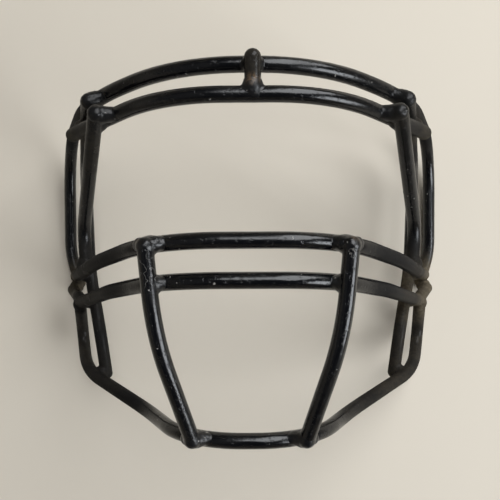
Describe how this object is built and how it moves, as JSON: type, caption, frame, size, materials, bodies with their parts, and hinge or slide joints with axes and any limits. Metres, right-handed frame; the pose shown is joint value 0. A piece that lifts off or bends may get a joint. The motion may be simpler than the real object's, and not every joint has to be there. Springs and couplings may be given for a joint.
{
  "type": "football helmet facemask",
  "caption": "Football helmet facemask cage: round steel bars with a black dipped coat, bent to the face and tack welded where they lap.",
  "frame": {"origin": "Middle of the footprint of the whole cage, on the surface that it lies on with its face up", "axes": "+Z is the way the mask faces, +Y points to the brow, +X to the right of someone who looks at its front"},
  "size_m": [0.236, 0.1728, 0.1451],
  "materials": {
    "coat": "glossy black dipped coat, dusty and scratched",
    "weld": "the same coat over lumpy weld beads"
  },
  "bodies": {
    "root": {"brow_hoop": "coat", "lower_brow_bar": "coat", "brow_post": "coat", "left_front_upright": "coat", "right_front_upright": "coat", "left_rear_strut": "coat", "right_rear_strut": "coat", "upper_mouth_bar": "coat", "lower_mouth_bar": "coat", "left_nose_bar": "coat", "right_nose_bar": "coat", "chin_bar": "coat", "post_crown_weld": "weld", "post_foot_weld": "weld", "temple_welds": "weld", "brow_end_welds": "weld", "upright_head_welds": "weld", "upright_foot_welds": "weld", "cheek_welds": "weld", "mouth_bar_end_welds": "weld", "lower_cheek_welds": "weld", "elbow_welds": "weld", "jaw_welds": "weld", "upper_nose_welds": "weld", "lower_nose_welds": "weld", "nose_foot_welds": "weld", "strut_foot_welds": "weld"}
  },
  "joints": []
}
